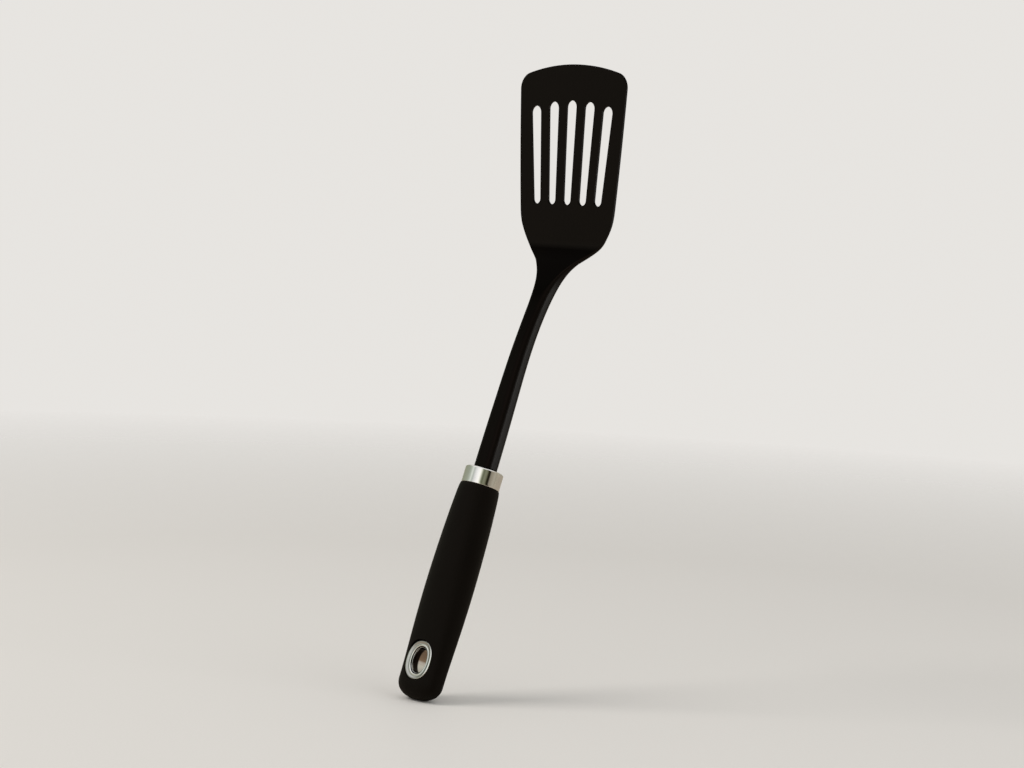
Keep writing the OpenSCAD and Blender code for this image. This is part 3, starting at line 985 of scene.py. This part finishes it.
def area_light(name, place, target, size, power, color, size_y=None, mirrored=False):
    data = bpy.data.lights.new(name, "AREA")
    data.shape = "RECTANGLE"
    data.size, data.size_y = size, size_y or size
    data.energy = power
    data.color = color
    light = bpy.data.objects.new(name, data)
    bpy.context.scene.collection.objects.link(light)
    light.location = place
    light.rotation_mode = "QUATERNION"
    light.rotation_quaternion = (Vector(target) - Vector(place)).to_track_quat("-Z", "Y")
    light.visible_glossy = mirrored
    return light


def build_lights():
    """Soft lights that the steel does not mirror, and a strip for the nylon alone."""
    area_light("key", place=(-0.9, -1.1, 1.5), target=(0, 0, 0.15), size=0.9, power=16,
               color=(1.0, 0.97, 0.93))
    area_light("fill", place=(1.3, 0.2, 0.9), target=(0, 0, 0.15), size=1.2, power=5,
               color=(0.97, 0.98, 1.0))
    # behind and to the right: it models the round of the shaft
    rim = area_light("rim", place=(0.675, 0.43, 0.04), target=(0, 0, 0.14), size=0.30,
                     size_y=0.4, power=4.2, color=(0.78, 1.0, 1.08), mirrored=True)
    rim.visible_camera = False
    lit = bpy.data.collections.new("rim_lit")
    lit.objects.link(head)
    rim.light_linking.receiver_collection = lit


# what the steel mirrors: soft panels by their bearing in degrees (0 towards the camera,
# negative to its left) and colour. A window to the left, a dark gap from the camera to the
# right, pale walls behind
PANELS = (
    (-180, (0.40, 0.38, 0.30)), (-140, (0.33, 0.35, 0.26)), (-104, (0.38, 0.41, 0.33)),
    (-88, (0.50, 0.55, 0.47)), (-74, (0.84, 0.88, 0.81)), (-63, (0.54, 0.58, 0.53)),
    (-55, (0.74, 0.75, 0.74)), (-45, (0.95, 0.95, 0.94)), (-34, (1.15, 1.14, 1.13)),
    (-20, (1.25, 1.23, 1.18)), (-12, (0.90, 0.91, 0.78)), (-4, (0.28, 0.30, 0.21)),
    (4, (0.14, 0.15, 0.09)), (13, (0.25, 0.26, 0.18)), (23, (0.20, 0.20, 0.13)),
    (30, (0.03, 0.028, 0.012)), (40, (0.006, 0.005, 0.002)), (46, (0.30, 0.27, 0.21)),
    (58, (0.36, 0.32, 0.25)), (71, (0.46, 0.42, 0.34)), (83, (0.40, 0.36, 0.28)),
    (96, (0.50, 0.46, 0.36)), (112, (0.43, 0.40, 0.32)), (140, (0.40, 0.37, 0.29)),
    (179, (0.40, 0.38, 0.30)),
)


def panel_ring(g, direction):
    bearing = g.math("ARCTAN2", g.dot(direction, CAMERA_RIGHT), g.dot(direction, TO_CAMERA))
    turn_share = g.math("ADD", g.math("DIVIDE", bearing, 2 * math.pi), 0.5)
    node = g.node("ValToRGB")
    g.feed(node.inputs[0], turn_share)
    colors = node.color_ramp
    colors.interpolation = "LINEAR"
    while len(colors.elements) > 1:
        colors.elements.remove(colors.elements[-1])
    for i, (degrees, color) in enumerate(PANELS):
        position = degrees / 360 + 0.5
        element = colors.elements[0] if i == 0 else colors.elements.new(position)
        element.position = position
        element.color = (*color, 1)
    return node.outputs[0]


def build_world():
    """A pale room, with its own brightness for mirrored, diffuse and camera rays."""
    world = bpy.data.worlds.new("studio")
    bpy.context.scene.world = world
    g = Graph(world)
    out = g.node("OutputWorld")
    path = g.node("LightPath")
    direction = g.node("TexCoord").outputs["Generated"]
    panels = panel_ring(g, direction)
    # above the ring of panels is a pale ceiling
    height = g.remap(g.z_of(direction), span=(0.45, 0.80), smooth=True)
    sky = g.blend(height, low=panels, high=(0.95, 0.94, 0.92))
    # full strength in a first mirroring, a trace of it in later ones
    later = 0.04
    first = g.math("LESS_THAN", path.outputs["Glossy Depth"], 1.5)
    strength = g.math("ADD", g.math("MULTIPLY", first, 0.96), later)
    mirrored = g.background(color=sky, strength=strength)
    soft = g.background(color=(0.93, 0.92, 0.90), strength=0.55)
    seen = g.background(color=(0.80, 0.78, 0.75), strength=1.0)
    unseen = g.mix_shaders(path.outputs["Is Glossy Ray"], low=soft, high=mirrored)
    room = g.mix_shaders(path.outputs["Is Camera Ray"], low=unseen, high=seen)
    g.feed(out.inputs[0], room)


build_floor()
build_camera()
build_lights()
build_world()
view = bpy.context.scene.view_settings
view.view_transform = "Standard"
view.look = "None"
